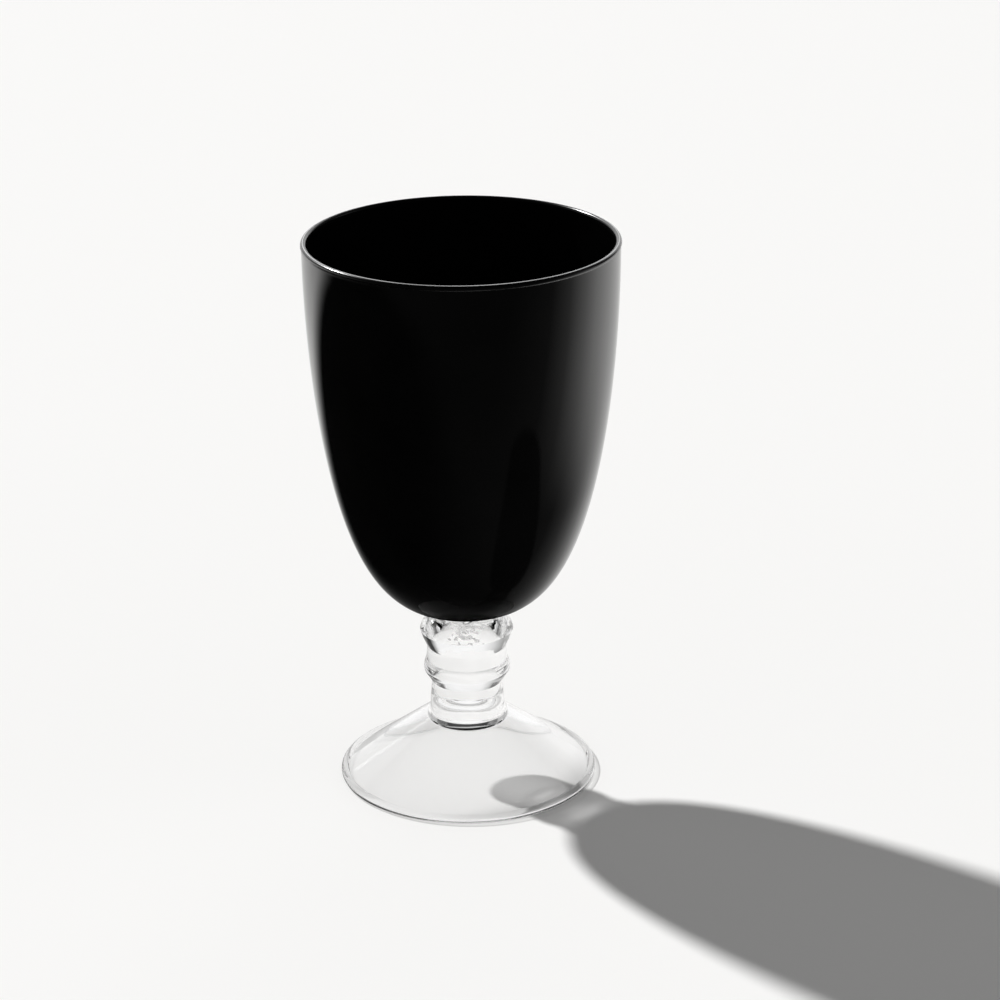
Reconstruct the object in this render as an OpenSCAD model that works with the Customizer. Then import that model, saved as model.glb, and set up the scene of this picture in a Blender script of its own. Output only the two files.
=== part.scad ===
// Water goblet: a deep black glass bowl on a short clear stem of stacked rings,
// carried by a clear conical foot that is hollow underneath.
// Every piece is turned about the Z axis, and the foot rests on the plane z = 0.

/* [Bowl] */
// Widest diameter of the bowl, across the bead of its rim
bowl_d = 85; // [75:0.5:100]
// Height of the bowl from its seat on the stem to the top of the rim
bowl_h = 105; // [85:0.5:130]
// Wall thickness of the bowl just below the rim
bowl_wall = 1.2; // [0.8:0.1:2.5]
// How far the fire-polished bead of the rim stands out on each side of the wall
rim_swell = 0.2; // [0.1:0.05:0.5]
// Thickness of the glass at the bottom of the bowl
bowl_floor = 5; // [3:0.5:9]
// How flat the bowl is underneath
bowl_flatness = 3.3; // [2.2:0.1:4]
// How early the bowl's wall turns upright
bowl_sweep = 1.9; // [1.6:0.1:2.4]
// Diameter of the flat seat where the bowl is joined to the stem
seat_d = 18; // [14:0.5:22]

/* [Upper knop] */
// Height of the straight shank between the bowl and the upper ring
shank_h = 1; // [0.5:0.1:4]
// Diameter of the upper ring at its edge
upper_knop_d = 25.8; // [24:0.1:28]
// Height of the rounded shoulder above the edge of the upper ring
upper_knop_rise = 5.5; // [4.5:0.1:8]
// Angle from upright at which the shoulder leaves the edge of the upper ring
shoulder_lean = 12; // [0:1:16]
// Height of the sloping underside below the edge of the upper ring
upper_knop_drop = 4.7; // [3:0.1:7]
// Angle from upright at which the underside leaves the edge of the upper ring
underside_lean = 16; // [0:1:20]

/* [Neck collar] */
// Height of the collar between the two rings
collar_h = 3.95; // [2:0.05:6]
// Diameter of the collar at its top, under the upper ring
collar_top_d = 21.9; // [20:0.1:23]
// Diameter of the collar at its base, on the lower ring
collar_base_d = 22.5; // [20:0.1:23]

/* [Lower knop] */
// Diameter of the lower ring at its widest line
lower_knop_d = 23.9; // [23.5:0.1:27]
// Height of the lower ring above its widest line
lower_knop_rise = 2.65; // [1.5:0.05:5]
// Height of the widest line above the lower edge of the ring
lower_knop_drop = 1.3; // [0.8:0.1:3]
// Diameter of the lower edge of the ring
lower_edge_d = 23.1; // [21.5:0.1:23.4]
// Height of the sloping underside below the lower edge
undercut_h = 2.7; // [1.5:0.1:5]

/* [Column] */
// Height of the column between the lower ring and the foot
column_h = 9.2; // [6:0.1:15]
// Diameter of the column at its top, under the lower ring
column_top_d = 19.5; // [17:0.1:21]
// Diameter of the column where it stands on the foot
column_base_d = 20.9; // [20:0.1:21.4]

/* [Foot] */
// Outer diameter of the foot
foot_d = 71; // [60:0.5:85]
// Height of the foot from the table to the column
foot_h = 18.5; // [16.5:0.5:26]
// Diameter of the flat top that carries the column
foot_top_d = 22; // [21.5:0.5:26]
// Radius of the rounded bead along the edge of the foot
foot_bead_r = 1.2; // [1:0.1:1.8]
// Width of the flat ring under the bead, on which the foot rests
foot_rest_w = 1; // [0.6:0.1:1.2]
// Angle above and below the bead's inner side at which the wall runs into it
foot_wall_angle = 45; // [30:5:50]
// Height of the flat ceiling of the hollow under the foot
hollow_h = 15.4; // [10:0.2:15.6]
// Diameter of the ceiling of the hollow
hollow_top_d = 19.8; // [12:0.2:21]
// Radius of the rounded corner around the ceiling
hollow_corner_r = 2; // [0.5:0.5:4]

/* [Hidden] */

// Facets of a full turn, and steps along a curved outline
$fn = 96;
arc_steps = 16;
bowl_steps = 40;
// How much closer together the steps of the bowl's outline lie near its bottom
bowl_crowding = 2;

// Heights of the joints between the pieces, from the table up
column_z = foot_h;
lower_knop_z = column_z + column_h;
lower_knop_h = undercut_h + lower_knop_drop + lower_knop_rise;
collar_z = lower_knop_z + lower_knop_h;
upper_knop_z = collar_z + collar_h;
shoulder_h = upper_knop_drop + upper_knop_rise;
upper_knop_h = shoulder_h + shank_h;
seat_z = upper_knop_z + upper_knop_h;

// Radii
seat_r = seat_d / 2;
wall_r = bowl_d / 2 - rim_swell;
rim_r = wall_r - bowl_wall / 2;
rim_bead = bowl_wall + 2 * rim_swell;
collar_top_r = collar_top_d / 2;
collar_base_r = collar_base_d / 2;
column_top_r = column_top_d / 2;
hollow_top_r = hollow_top_d / 2;

// Middle of the bead along the edge of the foot
foot_bead = [foot_d / 2 - foot_bead_r, sqrt(pow(foot_bead_r, 2) - pow(foot_rest_w / 2, 2))];
// Angle from straight down to each edge of the flat ring under the bead
foot_rest_angle = asin(foot_rest_w / 2 / foot_bead_r);

// Height of the middle of the rim's bead, and of the line where the wall runs into it
bead_z = bowl_h - rim_bead / 2;
bead_dip = acos(bowl_wall / rim_bead);
wall_h = bead_z - rim_bead / 2 * sin(bead_dip);

// Radius of the bowl's curve at the share t of its height
function bowl_radius(top_r, t) = top_r * pow(1 - pow(1 - t, bowl_sweep), 1 / bowl_flatness);

// Share of the outer curve's height that the seat cuts off
seat_share = 1 - pow(1 - pow(seat_r / wall_r, bowl_flatness), 1 / bowl_sweep);

// Outline of the bowl's curve from the share t0 to its top, between two heights
function bowl_curve(top_r, t0, low_z, top_z) = [
    for (i = [0 : bowl_steps])
        let (s = pow(i / bowl_steps, bowl_crowding))
        [bowl_radius(top_r, t0 + (1 - t0) * s), low_z + (top_z - low_z) * s]
];

// Arc on the side of a ring, up or down from one point to another; lean is its
// angle from upright where it starts
function ring_arc(start, end, lean) =
    let (
        step = end - start,
        turn = 2 * (atan2(-step[0], abs(step[1])) - lean),
        radius = norm(step) / (2 * sin(turn / 2))
    )
    [
        for (i = [0 : arc_steps])
            let (a = lean + turn * i / arc_steps)
            start + radius * [cos(a) - cos(lean), sign(step[1]) * (sin(a) - sin(lean))]
    ];

// Arc about a centre, from one angle to another
function arc(centre, radius, from, to) = [
    for (i = [0 : arc_steps])
        let (a = from + (to - from) * i / arc_steps)
        centre + radius * [cos(a), sin(a)]
];

function reversed(points) = [for (i = [len(points) - 1 : -1 : 0]) points[i]];

// Solid of revolution of the outline of a piece's side, which runs from the bottom
// up to the given height
module turned(side, height) {
    rotate_extrude()
        polygon(concat([[0, 0]], side, [[0, height]]));
}

module bowl() {
    outer = bowl_curve(wall_r, seat_share, 0, wall_h);
    inner = bowl_curve(wall_r - bowl_wall, 0, bowl_floor, wall_h);
    bead = arc([rim_r, bead_z], rim_bead / 2, -bead_dip, 180 + bead_dip);
    rim = [for (i = [1 : arc_steps - 1]) bead[i]];
    color("black")
        translate([0, 0, seat_z])
            rotate_extrude()
                polygon(concat([[0, 0]], outer, rim, reversed(inner)));
}

module upper_knop() {
    edge = [upper_knop_d / 2, upper_knop_drop];
    underside = reversed(ring_arc(edge, [collar_top_r, 0], underside_lean));
    shoulder_arc = ring_arc(edge, [seat_r, shoulder_h], shoulder_lean);
    shoulder = [for (i = [1 : arc_steps]) shoulder_arc[i]];
    color("azure")
        translate([0, 0, upper_knop_z])
            turned(concat(underside, shoulder, [[seat_r, upper_knop_h]]), upper_knop_h);
}

module neck_collar() {
    color("aliceblue")
        translate([0, 0, collar_z])
            cylinder(h = collar_h, r1 = collar_base_r, r2 = collar_top_r);
}

module lower_knop() {
    edge = [lower_edge_d / 2, undercut_h];
    widest = [lower_knop_d / 2, undercut_h + lower_knop_drop];
    low_arc = reversed(ring_arc(widest, edge, 0));
    high_arc = ring_arc(widest, [collar_base_r, lower_knop_h], 0);
    upper_side = [for (i = [1 : arc_steps]) high_arc[i]];
    color("azure")
        translate([0, 0, lower_knop_z])
            turned(concat([[column_top_r, 0]], low_arc, upper_side), lower_knop_h);
}

module stem_column() {
    color("aliceblue")
        translate([0, 0, column_z])
            cylinder(h = column_h, r1 = column_base_d / 2, r2 = column_top_r);
}

// The wall of the foot is a thin cone that runs from the bead up to the flat top,
// and the hollow inside it ends in a flat ceiling with a rounded corner
module foot() {
    bead_in = arc(foot_bead, foot_bead_r, foot_wall_angle - 180, -90 - foot_rest_angle);
    bead_out = arc(foot_bead, foot_bead_r, foot_rest_angle - 90, 180 - foot_wall_angle);
    slope = atan2(hollow_h - bead_in[0][1], bead_in[0][0] - hollow_top_r);
    corner_centre = [hollow_top_r - hollow_corner_r * tan(slope / 2), hollow_h - hollow_corner_r];
    corner = arc(corner_centre, hollow_corner_r, 90, 90 - slope);
    top = [[foot_top_d / 2, foot_h], [0, foot_h]];
    color("azure")
        rotate_extrude()
            polygon(concat([[0, hollow_h]], corner, bead_in, bead_out, top));
}

bowl();
upper_knop();
neck_collar();
lower_knop();
stem_column();
foot();
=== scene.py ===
"""Water goblet: an opaque black bowl on a clear ringed stem and a hollow clear foot.

Every piece of glass is a turned mesh with the sizes of the part, in the part's own frame.
Neighbouring pieces of clear glass are fused, so the faces between them don't show.
"""

import math

import bmesh
import bpy
from mathutils import Matrix, Vector


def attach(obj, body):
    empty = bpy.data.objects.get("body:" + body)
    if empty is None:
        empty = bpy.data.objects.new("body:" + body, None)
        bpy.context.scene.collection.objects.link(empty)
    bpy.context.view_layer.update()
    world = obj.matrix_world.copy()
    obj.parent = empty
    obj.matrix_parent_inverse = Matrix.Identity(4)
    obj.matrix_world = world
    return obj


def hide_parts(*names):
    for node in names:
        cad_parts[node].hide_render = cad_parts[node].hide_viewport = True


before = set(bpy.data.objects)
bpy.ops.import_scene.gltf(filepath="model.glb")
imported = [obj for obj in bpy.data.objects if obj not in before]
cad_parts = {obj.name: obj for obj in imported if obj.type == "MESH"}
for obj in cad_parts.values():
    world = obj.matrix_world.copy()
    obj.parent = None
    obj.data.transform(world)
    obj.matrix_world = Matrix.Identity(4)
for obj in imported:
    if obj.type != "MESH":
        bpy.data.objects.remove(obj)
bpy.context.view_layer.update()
scene = bpy.context.scene

MM = 0.001

# Sizes of the part, in millimetres and degrees
BOWL_D = 85
BOWL_H = 105
BOWL_WALL = 1.2
RIM_SWELL = 0.2
BOWL_FLOOR = 5
BOWL_FLATNESS = 3.3
BOWL_SWEEP = 1.9
SEAT_R = 9
SHANK_H = 1
UPPER_KNOP_R = 12.9
UPPER_KNOP_RISE = 5.5
SHOULDER_LEAN = 12
UPPER_KNOP_DROP = 4.7
UNDERSIDE_LEAN = 16
COLLAR_H = 3.95
COLLAR_TOP_R = 10.95
COLLAR_BASE_R = 11.25
LOWER_KNOP_R = 11.95
LOWER_KNOP_RISE = 2.65
LOWER_KNOP_DROP = 1.3
LOWER_EDGE_R = 11.55
UNDERCUT_H = 2.7
COLUMN_H = 9.2
COLUMN_TOP_R = 9.75
COLUMN_BASE_R = 10.45
FOOT_R = 35.5
FOOT_H = 18.5
FOOT_TOP_R = 11
FOOT_BEAD_R = 1.2
FOOT_REST_W = 1
FOOT_WALL_ANGLE = 45
HOLLOW_H = 15.4
HOLLOW_TOP_R = 9.9
HOLLOW_CORNER_R = 2

# Heights of the joints
COLUMN_Z = FOOT_H
LOWER_KNOP_Z = COLUMN_Z + COLUMN_H
COLLAR_Z = LOWER_KNOP_Z + UNDERCUT_H + LOWER_KNOP_DROP + LOWER_KNOP_RISE
UPPER_KNOP_Z = COLLAR_Z + COLLAR_H
SEAT_Z = UPPER_KNOP_Z + UPPER_KNOP_DROP + UPPER_KNOP_RISE + SHANK_H
TOP_Z = SEAT_Z + BOWL_H

# Edges of the joints, as (radius, height)
SEAT = (SEAT_R, SEAT_Z)
COLLAR_TOP = (COLLAR_TOP_R, UPPER_KNOP_Z)
COLLAR_BASE = (COLLAR_BASE_R, COLLAR_Z)
COLUMN_TOP = (COLUMN_TOP_R, LOWER_KNOP_Z)
COLUMN_BASE = (COLUMN_BASE_R, COLUMN_Z)

# Steps of a full turn, of each curve and of each straight flank
TURN_STEPS = 320
ARC_STEPS = 24
BOWL_STEPS = 90
DISC_STEPS = 8
SHANK_STEPS = 4
COLLAR_STEPS = 6
UNDERCUT_STEPS = 6
COLUMN_STEPS = 12
FOOT_STEPS = 24
# How much closer together the steps of the bowl's outline lie near its bottom
BOWL_CROWDING = 2.2
# Points closer together than this, in millimetres, are one point
SAME_POINT = 1e-6
# Edges that turn by more than this stay sharp
SHARP_ANGLE = math.radians(20)
# Waves of the hand-worked radius: size in millimetres, number of lobes, start and turn per
# millimetre of height, in radians
STRAYS = [(0.035, 2, 0.7, 0.11), (0.020, 3, -1.3, -0.23), (0.012, 5, 2.1, 0.41)]
# Angles above level, seen from the middle of the rim's bead, between which the rim carries a
# painted highlight: a pale grey strip that stands in for the light the rim catches
PAINTED_LIP_START = 70
PAINTED_LIP_END = 92


# Outlines, as lists of (radius, height) in millimetres
def arc(centre, radius, start, end):
    """Points of an arc about a centre, from one angle in degrees to another."""
    points = []
    for i in range(ARC_STEPS + 1):
        a = math.radians(start + (end - start) * i / ARC_STEPS)
        points.append((centre[0] + radius * math.cos(a), centre[1] + radius * math.sin(a)))
    return points


def ring_arc(start, end, lean=0):
    """Arc on a ring, up or down from start to end; lean is its angle from upright at the start."""
    lean = math.radians(lean)
    rise = end[1] - start[1]
    turn = 2 * (math.atan2(start[0] - end[0], abs(rise)) - lean)
    radius = math.dist(start, end) / (2 * math.sin(turn / 2))
    points = []
    for i in range(ARC_STEPS + 1):
        a = lean + turn * i / ARC_STEPS
        height = math.copysign(radius * (math.sin(a) - math.sin(lean)), rise)
        points.append((start[0] + radius * (math.cos(a) - math.cos(lean)), start[1] + height))
    return points


def straight(start, end, steps):
    """Points along a line, both ends included."""
    return [
        (start[0] + (end[0] - start[0]) * i / steps, start[1] + (end[1] - start[1]) * i / steps)
        for i in range(steps + 1)
    ]


def bowl_curve(top_r, start_share, low_z, top_z):
    """Outline of the bowl's curve, with its points closer together near the bottom."""
    points = []
    for i in range(BOWL_STEPS + 1):
        s = (i / BOWL_STEPS) ** BOWL_CROWDING
        t = start_share + (1 - start_share) * s
        radius = top_r * (1 - (1 - t) ** BOWL_SWEEP) ** (1 / BOWL_FLATNESS)
        points.append((radius, low_z + (top_z - low_z) * s))
    return points


def disc(edge):
    """A flat end face, from the axis out to its edge."""
    return straight((0, edge[1]), edge, DISC_STEPS)


# Meshes
def wobble(radius, z, angle):
    """How far the hand-worked glass strays from its true radius, in millimetres."""
    share = min(radius / COLUMN_BASE_R, 1)
    return share * sum(
        size * math.sin(lobes * angle + start + turn * z) for size, lobes, start, turn in STRAYS
    )


def join(strips):
    """One outline through strips of (points, material), and the material of each of its steps."""
    outline, step_materials = [], []
    for points, material in strips:
        for point in points:
            if outline and math.dist(outline[-1], point) < SAME_POINT:
                continue
            if outline:
                step_materials.append(material)
            outline.append(point)
    return outline, step_materials


def add_ring(mesh, radius, z, strays):
    """The vertices that one point of an outline turns into: a full ring, or one on the axis."""
    if radius < SAME_POINT:
        return [mesh.verts.new((0, 0, z * MM))]
    ring = []
    for k in range(TURN_STEPS):
        a = 2 * math.pi * k / TURN_STEPS
        r = (radius + (wobble(radius, z, a) if strays else 0)) * MM
        ring.append(mesh.verts.new((r * math.cos(a), r * math.sin(a), z * MM)))
    return ring


def lathe(name, strips, materials, strays):
    """Turned solid of strips of (points, material) that run on from axis to axis."""
    outline, step_materials = join(strips)
    mesh = bmesh.new()
    rings = [add_ring(mesh, radius, z, strays) for radius, z in outline]
    for low, high, material in zip(rings, rings[1:], step_materials):
        material_index = materials.index(material)
        for k in range(TURN_STEPS):
            n = (k + 1) % TURN_STEPS
            if len(low) == 1:
                corners = (low[0], high[n], high[k])
            elif len(high) == 1:
                corners = (low[k], low[n], high[0])
            else:
                corners = (low[k], low[n], high[n], high[k])
            face = mesh.faces.new(corners)
            face.material_index = material_index
            face.smooth = True
    bmesh.ops.recalc_face_normals(mesh, faces=mesh.faces)
    data = bpy.data.meshes.new(name)
    mesh.to_mesh(data)
    mesh.free()
    data.set_sharp_from_angle(angle=SHARP_ANGLE)
    for material in materials:
        data.materials.append(material)
    piece = bpy.data.objects.new(name, data)
    scene.collection.objects.link(piece)
    return piece


# Material nodes
def new_material(name):
    """A material with its node tree and its Principled shader."""
    material = bpy.data.materials.new(name)
    material.use_nodes = True
    tree = material.node_tree
    return material, tree, tree.nodes["Principled BSDF"]


def add(tree, kind, settings=None, **inputs):
    """Adds a node; inputs are set by name, or linked where a socket is given."""
    node = tree.nodes.new("ShaderNode" + kind)
    for key, value in (settings or {}).items():
        setattr(node, key, value)
    for key, value in inputs.items():
        socket = node.inputs[key.replace("_", " ")]
        if isinstance(value, bpy.types.NodeSocket):
            tree.links.new(value, socket)
        else:
            socket.default_value = value
    return node


def ramp(tree, value, stops):
    """Colour output of a ramp through stops of (position, grey)."""
    node = add(tree, "ValToRGB", Fac=value)
    elements = node.color_ramp.elements
    elements[0].position, elements[1].position = stops[0][0], stops[-1][0]
    for position, _ in stops[1:-1]:
        elements.new(position)
    for element, (_, grey) in zip(elements, stops):
        element.color = (grey, grey, grey, 1)
    return node.outputs["Color"]


def facing(tree):
    """How far a surface turns from the eye, from full face (0) to edge on (1)."""
    return add(tree, "LayerWeight", Blend=0.5).outputs["Facing"]


def add_clouds(tree, shader, where, noise, greys, polish):
    """Cloudy grey and roughness, from one noise; returns the roughness."""
    clouds = add(tree, "TexNoise", Vector=where, **noise).outputs["Fac"]
    tree.links.new(ramp(tree, clouds, greys), shader.inputs["Base Color"])
    low, high = polish
    rough = add(tree, "MapRange", Value=clouds, To_Min=low, To_Max=high).outputs["Result"]
    tree.links.new(rough, shader.inputs["Roughness"])
    return rough


def add_waves(tree, shader, where, noise, bump):
    """Slight waves of the surface."""
    waves = add(tree, "TexNoise", Vector=where, **noise).outputs["Fac"]
    normal = add(tree, "Bump", Height=waves, **bump).outputs["Normal"]
    tree.links.new(normal, shader.inputs["Normal"])


# Black glass: its clouds of (noise, grey) and range of roughness, and its waves
BLACK_CLOUDS = {"Scale": 38.0, "Detail": 3.0}
BLACK_GREY = [(0.3, 0.0008), (0.7, 0.0016)]
BLACK_POLISH = (0.02, 0.05)
BLACK_WAVES = {"Scale": 90.0, "Detail": 2.0}
BLACK_BUMP = {"Strength": 0.05, "Distance": 0.0004}
BLACK_IOR = 1.7
# The rim is polished by fire and not quite as smooth as the wall below it; heights in millimetres
RIM_SOFTENS = (TOP_Z - 2, TOP_Z - 1.4)
RIM_ROUGHNESS = 0.22
# Gloss from full face (0) to edge on (1), in the lower and in the upper part of the bowl. The
# seat has none. Each gloss comes in between two heights in millimetres.
LOW_SHINE = [(0.40, 0.01), (0.50, 0.032), (0.57, 0.065), (0.67, 0.14), (0.78, 0.30)]
LOW_SHINE_FADE = (53, 77)
HIGH_SHINE = [
    (0.10, 0.006), (0.22, 0.02), (0.31, 0.09), (0.42, 0.32), (0.50, 0.55), (0.75, 1.0),
]
HIGH_SHINE_FADE = (85, 135)

# Painted highlight on the rim: pale grey colour on the black glass that stands in for the light the
# rim catches, with its clouds and range of roughness
PAINTED_LIP_CLOUDS = {"Scale": 45.0, "Detail": 2.0}
PAINTED_LIP_GREY = [(0.3, 0.35), (0.7, 0.55)]
PAINTED_LIP_POLISH = (0.04, 0.1)

# Clear glass: its clouds, its waves, and the waves of the more worked upper knop
CLEAR_CLOUDS = {"Scale": 60.0, "Detail": 2.0}
CLEAR_GREY = [(0.0, 0.99), (1.0, 1.0)]
CLEAR_POLISH = (0.0, 0.01)
CLEAR_WAVES = {"Scale": 110.0, "Detail": 1.0}
CLEAR_BUMP = {"Strength": 0.06, "Distance": 0.0005}
KNOP_WAVES = {"Scale": 420.0, "Detail": 1.0}
KNOP_BUMP = {"Strength": 0.17, "Distance": 0.0005}
CLEAR_IOR = 1.5
# Light of the lamps that clear glass lets through, from full face (0) to edge on (1)
SOLID_PASSES = [(0.0, 0.8), (0.12, 0.45), (0.5, 0.32), (1.0, 0.25)]
BEAD_PASSES = [(0.0, 0.95), (0.5, 0.8), (1.0, 0.35)]
WALL_PASSES = [(0.0, 0.985), (0.6, 0.96), (0.85, 0.75), (1.0, 0.35)]


def black_glass():
    """Opaque black glass with a high polish: black where it faces the eye, shining at its edges."""
    material, tree, shader = new_material("black_glass")
    where = add(tree, "TexCoord").outputs["Object"]
    polish = add_clouds(tree, shader, where, BLACK_CLOUDS, BLACK_GREY, BLACK_POLISH)
    add_waves(tree, shader, where, BLACK_WAVES, BLACK_BUMP)
    height = add(tree, "SeparateXYZ", Vector=where).outputs["Z"]
    low, high = RIM_SOFTENS
    rough = add(
        tree, "MapRange", Value=height, From_Min=low * MM, From_Max=high * MM,
        To_Min=polish, To_Max=RIM_ROUGHNESS,
    )
    tree.links.new(rough.outputs["Result"], shader.inputs["Roughness"])
    shader.inputs["IOR"].default_value = BLACK_IOR
    turned = facing(tree)
    shine = 0.0
    for (low, high), stops in ((LOW_SHINE_FADE, LOW_SHINE), (HIGH_SHINE_FADE, HIGH_SHINE)):
        fade = add(
            tree, "MapRange", {"interpolation_type": "SMOOTHSTEP"}, Value=height,
            From_Min=low * MM, From_Max=high * MM, To_Min=shine, To_Max=ramp(tree, turned, stops),
        )
        shine = fade.outputs["Result"]
    tree.links.new(shine, shader.inputs["Specular IOR Level"])
    return material


def painted_lip_glass():
    """Painted highlight on the bowl's rim: pale grey colour that stands in for the light the
    polished rim catches.
    """
    material, tree, shader = new_material("black_glass_painted_lip_highlight")
    where = add(tree, "TexCoord").outputs["Object"]
    add_clouds(tree, shader, where, PAINTED_LIP_CLOUDS, PAINTED_LIP_GREY, PAINTED_LIP_POLISH)
    return material


def clear_glass(name, passes, waves=CLEAR_WAVES, bump=CLEAR_BUMP):
    """Clear glass with the waves of hand work; lamps shine through it, weaker at its edges."""
    material, tree, shader = new_material(name)
    where = add(tree, "TexCoord").outputs["Object"]
    add_clouds(tree, shader, where, CLEAR_CLOUDS, CLEAR_GREY, CLEAR_POLISH)
    add_waves(tree, shader, where, waves, bump)
    shader.inputs["Transmission Weight"].default_value = 1.0
    shader.inputs["IOR"].default_value = CLEAR_IOR
    open_glass = add(tree, "BsdfTransparent", Color=ramp(tree, facing(tree), passes))
    path = add(tree, "LightPath")
    surface = tree.nodes["Material Output"].inputs["Surface"]
    for ray in ("Is Shadow Ray", "Is Diffuse Ray"):
        before = surface.links[0].from_socket
        mix = add(tree, "MixShader", Fac=path.outputs[ray])
        tree.links.new(before, mix.inputs[1])
        tree.links.new(open_glass.outputs["BSDF"], mix.inputs[2])
        tree.links.new(mix.outputs["Shader"], surface)
    return material


def fused_face():
    """The faces where two gathers of glass have run together: nothing shows there."""
    material, _, shader = new_material("fused_glass")
    shader.inputs["Alpha"].default_value = 0.0
    return material


BLACK = black_glass()
# Painted highlight on the rim, in pale grey
PAINTED_LIP = painted_lip_glass()
SOLID = clear_glass("clear_glass_solid", SOLID_PASSES)
KNOP = clear_glass("clear_glass_knop", SOLID_PASSES, KNOP_WAVES, KNOP_BUMP)
WALL = clear_glass("clear_glass_wall", WALL_PASSES)
BEAD = clear_glass("clear_glass_bead", BEAD_PASSES)
FUSED = fused_face()


# Pieces
def place(piece, node):
    """The piece stands in for its CAD node, which it hides, and hangs from the root body."""
    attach(piece, "root")
    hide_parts(node)


def make_bowl():
    """The black bowl, from the middle of its seat up over the rim and down to its floor."""
    wall_r = BOWL_D / 2 - RIM_SWELL
    bead = BOWL_WALL + 2 * RIM_SWELL
    bead_z = TOP_Z - bead / 2
    dip = math.degrees(math.acos(BOWL_WALL / bead))
    wall_z = bead_z - bead / 2 * math.sin(math.radians(dip))
    seat_share = 1 - (1 - (SEAT_R / wall_r) ** BOWL_FLATNESS) ** (1 / BOWL_SWEEP)
    inner_r = wall_r - BOWL_WALL
    centre = (wall_r - BOWL_WALL / 2, bead_z)
    outside = disc(SEAT) + bowl_curve(wall_r, seat_share, SEAT_Z, wall_z)
    outside += arc(centre, bead / 2, -dip, PAINTED_LIP_START)
    # Painted highlight: a pale grey strip on the black rim that stands in for the light it catches
    painted_lip = arc(centre, bead / 2, PAINTED_LIP_START, PAINTED_LIP_END)
    inside = arc(centre, bead / 2, PAINTED_LIP_END, 180 + dip)
    inside += bowl_curve(inner_r, 0, SEAT_Z + BOWL_FLOOR, wall_z)[::-1]
    strips = [(outside, BLACK), (painted_lip, PAINTED_LIP), (inside, BLACK)]
    place(lathe("goblet_bowl", strips, [BLACK, PAINTED_LIP], strays=False), "bowl")


def make_clear(name, node, low_edge, side, high_edge, glass=SOLID):
    """A solid gather of clear glass, fused at its bottom and top faces."""
    strips = [(disc(low_edge), FUSED), (side, glass), (disc(high_edge)[::-1], FUSED)]
    place(lathe(name, strips, [glass, FUSED], strays=True), node)


def make_upper_knop():
    """The upper ring, with the short shank under the bowl."""
    edge = (UPPER_KNOP_R, UPPER_KNOP_Z + UPPER_KNOP_DROP)
    shank_base = (SEAT_R, SEAT_Z - SHANK_H)
    side = ring_arc(edge, COLLAR_TOP, UNDERSIDE_LEAN)[::-1]
    side += ring_arc(edge, shank_base, SHOULDER_LEAN)
    side += straight(shank_base, SEAT, SHANK_STEPS)
    make_clear("stem_upper_knop", "upper_knop", COLLAR_TOP, side, SEAT, KNOP)


def make_neck_collar():
    """The collar between the two rings."""
    side = straight(COLLAR_BASE, COLLAR_TOP, COLLAR_STEPS)
    make_clear("stem_neck_collar", "neck_collar", COLLAR_BASE, side, COLLAR_TOP)


def make_lower_knop():
    """The lower ring, with its sloping underside."""
    edge = (LOWER_EDGE_R, LOWER_KNOP_Z + UNDERCUT_H)
    widest = (LOWER_KNOP_R, edge[1] + LOWER_KNOP_DROP)
    side = straight(COLUMN_TOP, edge, UNDERCUT_STEPS)
    side += ring_arc(widest, edge)[::-1]
    side += ring_arc(widest, COLLAR_BASE)
    make_clear("stem_lower_knop", "lower_knop", COLUMN_TOP, side, COLLAR_BASE)


def make_column():
    """The column between the lower ring and the foot."""
    side = straight(COLUMN_BASE, COLUMN_TOP, COLUMN_STEPS)
    make_clear("stem_lower_column", "stem_column", COLUMN_BASE, side, COLUMN_TOP)


def make_foot():
    """The hollow foot, from the ceiling of its hollow round the bead and up to the column."""
    half_rest = FOOT_REST_W / 2
    bead = (FOOT_R - FOOT_BEAD_R, math.sqrt(FOOT_BEAD_R**2 - half_rest**2))
    rest = math.degrees(math.asin(half_rest / FOOT_BEAD_R))
    bead_in = arc(bead, FOOT_BEAD_R, FOOT_WALL_ANGLE - 180, -90 - rest)
    bead_out = arc(bead, FOOT_BEAD_R, rest - 90, 180 - FOOT_WALL_ANGLE)
    slope = math.atan2(HOLLOW_H - bead_in[0][1], bead_in[0][0] - HOLLOW_TOP_R)
    corner_r = HOLLOW_TOP_R - HOLLOW_CORNER_R * math.tan(slope / 2)
    corner = arc(
        (corner_r, HOLLOW_H - HOLLOW_CORNER_R), HOLLOW_CORNER_R, 90, 90 - math.degrees(slope)
    )
    under = disc((corner_r, HOLLOW_H)) + corner
    under += straight(corner[-1], bead_in[0], FOOT_STEPS)
    over = straight(bead_out[-1], (FOOT_TOP_R, FOOT_H), FOOT_STEPS) + [COLUMN_BASE]
    joint = disc(COLUMN_BASE)[::-1]
    strips = [(under, WALL), (bead_in + bead_out, BEAD), (over, WALL), (joint, FUSED)]
    place(lathe("goblet_foot", strips, [WALL, FUSED, BEAD], strays=True), "foot")


make_bowl()
make_upper_knop()
make_neck_collar()
make_lower_knop()
make_column()
make_foot()


# Stage, in metres
SHEET_ROUGHNESS = 0.9
FLOOR_HALF = 40.0
FLOOR_GAP = 0.05 * MM
FLOOR_COLOUR = (0.90, 0.895, 0.885, 1)
FLOOR_GLOSS = 0.1
# Black flag on the floor to the left, with a soft edge, which only reflections see: the black
# glass stays black on that side up to a thin bright edge
FLAG_CENTRE = (-0.30, -0.05)
FLAG_RADIUS = 0.36
FLAG_EDGE_SHARE = 0.35
FLAG_COLOUR = (0.003, 0.003, 0.003, 1)
FLAG_GLOSS = 0.0


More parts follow.
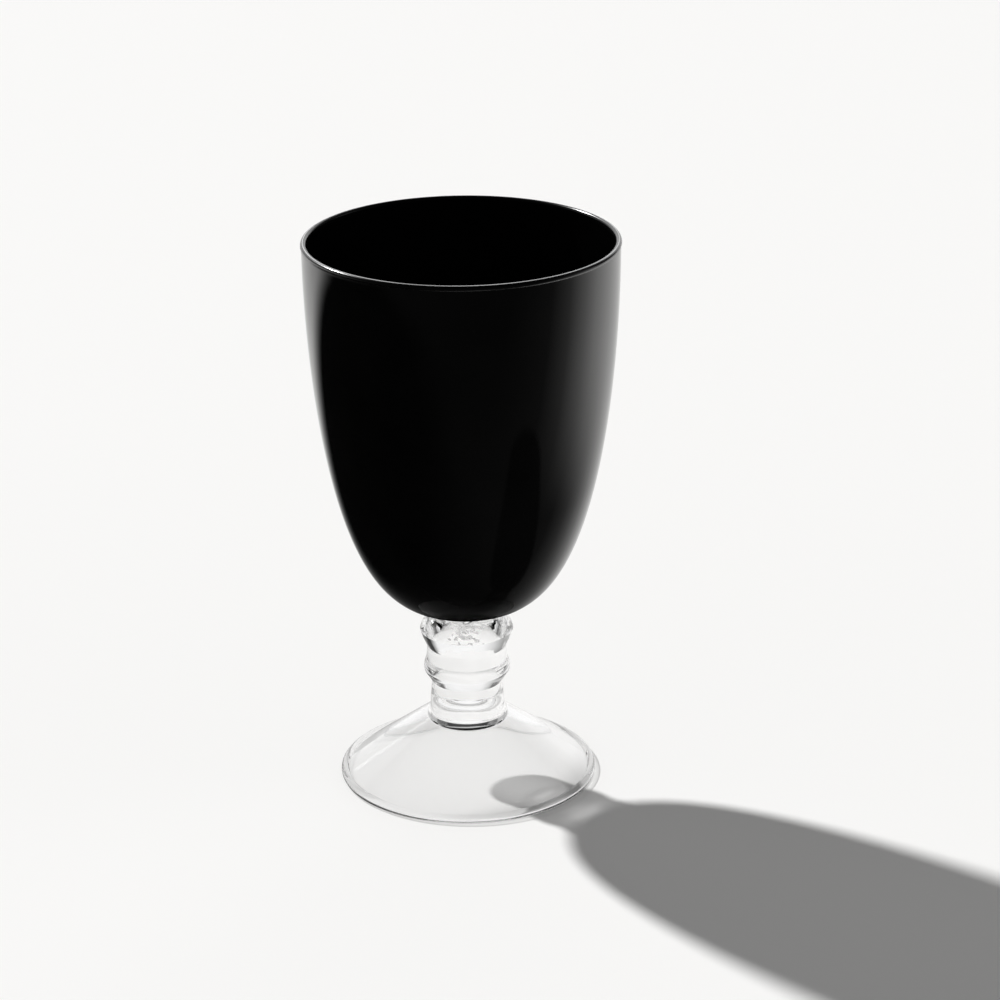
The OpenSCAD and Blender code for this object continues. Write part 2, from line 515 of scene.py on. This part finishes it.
def add_sheet(name, location, half, colour, gloss):
    """A matt square sheet that lies level; returns it with its node tree and its shader."""
    data = bpy.data.meshes.new(name)
    data.from_pydata([(-1, -1, 0), (1, -1, 0), (1, 1, 0), (-1, 1, 0)], [], [(0, 1, 2, 3)])
    material, tree, shader = new_material(name)
    shader.inputs["Base Color"].default_value = colour
    shader.inputs["Roughness"].default_value = SHEET_ROUGHNESS
    shader.inputs["Specular IOR Level"].default_value = gloss
    data.materials.append(material)
    sheet = bpy.data.objects.new(name, data)
    sheet.location = location
    sheet.scale = (half, half, 1)
    scene.collection.objects.link(sheet)
    return sheet, tree, shader


def make_floor():
    """The plain pale floor, just clear of the foot."""
    floor, _, _ = add_sheet("floor", (0, 0, -FLOOR_GAP), FLOOR_HALF, FLOOR_COLOUR, FLOOR_GLOSS)


def make_flag():
    """The soft black disc, between the floor and the foot."""
    location = (*FLAG_CENTRE, -FLOOR_GAP / 2)
    flag, tree, shader = add_sheet("flag", location, FLAG_RADIUS, FLAG_COLOUR, FLAG_GLOSS)
    where = add(tree, "TexCoord").outputs["Object"]
    inside = add(tree, "TexGradient", {"gradient_type": "SPHERICAL"}, Vector=where)
    fade = add(
        tree, "MapRange", {"interpolation_type": "SMOOTHSTEP"},
        Value=inside.outputs["Fac"], From_Max=FLAG_EDGE_SHARE,
    )
    tree.links.new(fade.outputs["Result"], shader.inputs["Alpha"])
    flag.visible_camera = False
    flag.visible_diffuse = False
    flag.visible_shadow = False
    flag.visible_transmission = False


# Key lamp behind the goblet on the left, as far round and as high as the shadow says
KEY_AZIMUTH = math.radians(137.3)
KEY_HEIGHT = math.radians(40)
KEY_WIDTH = math.radians(3)
KEY_STRENGTH = 3.9


def make_key():
    """The key lamp, a sun, so that the floor is lit evenly."""
    lamp = bpy.data.lights.new("key", "SUN")
    lamp.angle = KEY_WIDTH
    lamp.energy = KEY_STRENGTH
    key = bpy.data.objects.new("key", lamp)
    flat = math.cos(KEY_HEIGHT)
    towards = Vector(
        (flat * math.cos(KEY_AZIMUTH), flat * math.sin(KEY_AZIMUTH), math.sin(KEY_HEIGHT))
    )
    key.location = towards
    key.rotation_euler = towards.to_track_quat("Z", "Y").to_euler()
    scene.collection.objects.link(key)


# Studio surroundings, as bands of (azimuth in degrees, grey)
def white_band(sides):
    """White background between a black flag and a grey one; sides is the grey of the rest."""
    return [
        (-180, sides), (8, sides), (16, 0.03), (48, 0.03), (60, 1.0), (106, 1.0),
        (126, 0.5), (140, 0.25), (150, 0.25), (160, sides), (180, sides),
    ]


GREY_WALLS = [
    (-180, 0.4), (-125, 0.4), (-110, 0.12), (-45, 0.12), (-35, 0.4),
    (10, 0.4), (20, 0.1), (150, 0.1), (165, 0.4), (180, 0.4),
]
DARK_CEILING = [(-180, 0.06), (180, 0.06)]
# The bands from the floor up, each with its top in degrees, and half the width of their edges
ROOM = [(16, white_band(0.92)), (34, white_band(0.5)), (45, GREY_WALLS), (90, DARK_CEILING)]
BAND_EDGE = 1.5


def make_world():
    """The room's bands, one above the other, as the background."""
    world = bpy.data.worlds.new("studio")
    scene.world = world
    world.use_nodes = True
    tree = world.node_tree
    way = add(tree, "SeparateXYZ", Vector=add(tree, "TexCoord").outputs["Generated"]).outputs
    around = add(tree, "Math", {"operation": "ARCTAN2"})
    tree.links.new(way["Y"], around.inputs[0])
    tree.links.new(way["X"], around.inputs[1])
    turn = add(tree, "MapRange", Value=around.outputs[0], From_Min=-math.pi, From_Max=math.pi)
    room, below = None, 0
    for top, stops in ROOM:
        band = ramp(tree, turn.outputs["Result"], [((a + 180) / 360, grey) for a, grey in stops])
        if room:
            low = math.sin(math.radians(below - BAND_EDGE))
            high = math.sin(math.radians(below + BAND_EDGE))
            share = add(tree, "MapRange", Value=way["Z"], From_Min=low, From_Max=high)
            mix = add(tree, "Mix", {"data_type": "RGBA"}, Factor=share.outputs["Result"])
            tree.links.new(room, mix.inputs["A"])
            tree.links.new(band, mix.inputs["B"])
            band = mix.outputs["Result"]
        room, below = band, top
    tree.links.new(room, tree.nodes["Background"].inputs["Color"])


# Camera at the photograph's viewing angle; distances in metres, lens and sensor in millimetres
CAMERA_BACK = 0.829345
CAMERA_HEIGHT = 0.4006475
CAMERA_PITCH = math.radians(21.113)
CAMERA_YAW = math.radians(0.663)
CAMERA_ROLL = math.radians(0.581)
CAMERA_LENS = 117.63
CAMERA_SENSOR = 36
CAMERA_CLIP = 0.01


def make_camera():
    """The camera, looking down at the goblet, turned and rolled a little."""
    lens = bpy.data.cameras.new("camera")
    lens.lens = CAMERA_LENS
    lens.sensor_width = CAMERA_SENSOR
    lens.clip_start = CAMERA_CLIP
    camera = bpy.data.objects.new("camera", lens)
    scene.collection.objects.link(camera)
    flat = math.cos(CAMERA_PITCH)
    ahead = Vector(
        (math.sin(CAMERA_YAW) * flat, math.cos(CAMERA_YAW) * flat, -math.sin(CAMERA_PITCH))
    )
    level = Vector((math.cos(CAMERA_YAW), -math.sin(CAMERA_YAW), 0))
    down = ahead.cross(level)
    right = math.cos(CAMERA_ROLL) * level + math.sin(CAMERA_ROLL) * down
    down = math.cos(CAMERA_ROLL) * down - math.sin(CAMERA_ROLL) * level
    turn = Matrix((right, -down, -ahead)).transposed().to_4x4()
    camera.matrix_world = Matrix.Translation((0, -CAMERA_BACK, CAMERA_HEIGHT)) @ turn
    scene.camera = camera


make_floor()
make_flag()
make_key()
make_world()
make_camera()

scene.view_settings.view_transform = "Standard"
# Thin walls of glass pass light on many times. Clear glass lets the lamps through by its
# material, so light that glass would focus isn't needed.
GLASS_BOUNCES = 32
GLOSS_BOUNCES = 16
scene.cycles.max_bounces = GLASS_BOUNCES
scene.cycles.transmission_bounces = GLASS_BOUNCES
scene.cycles.transparent_max_bounces = GLASS_BOUNCES
scene.cycles.glossy_bounces = GLOSS_BOUNCES
scene.cycles.caustics_reflective = False
scene.cycles.caustics_refractive = False
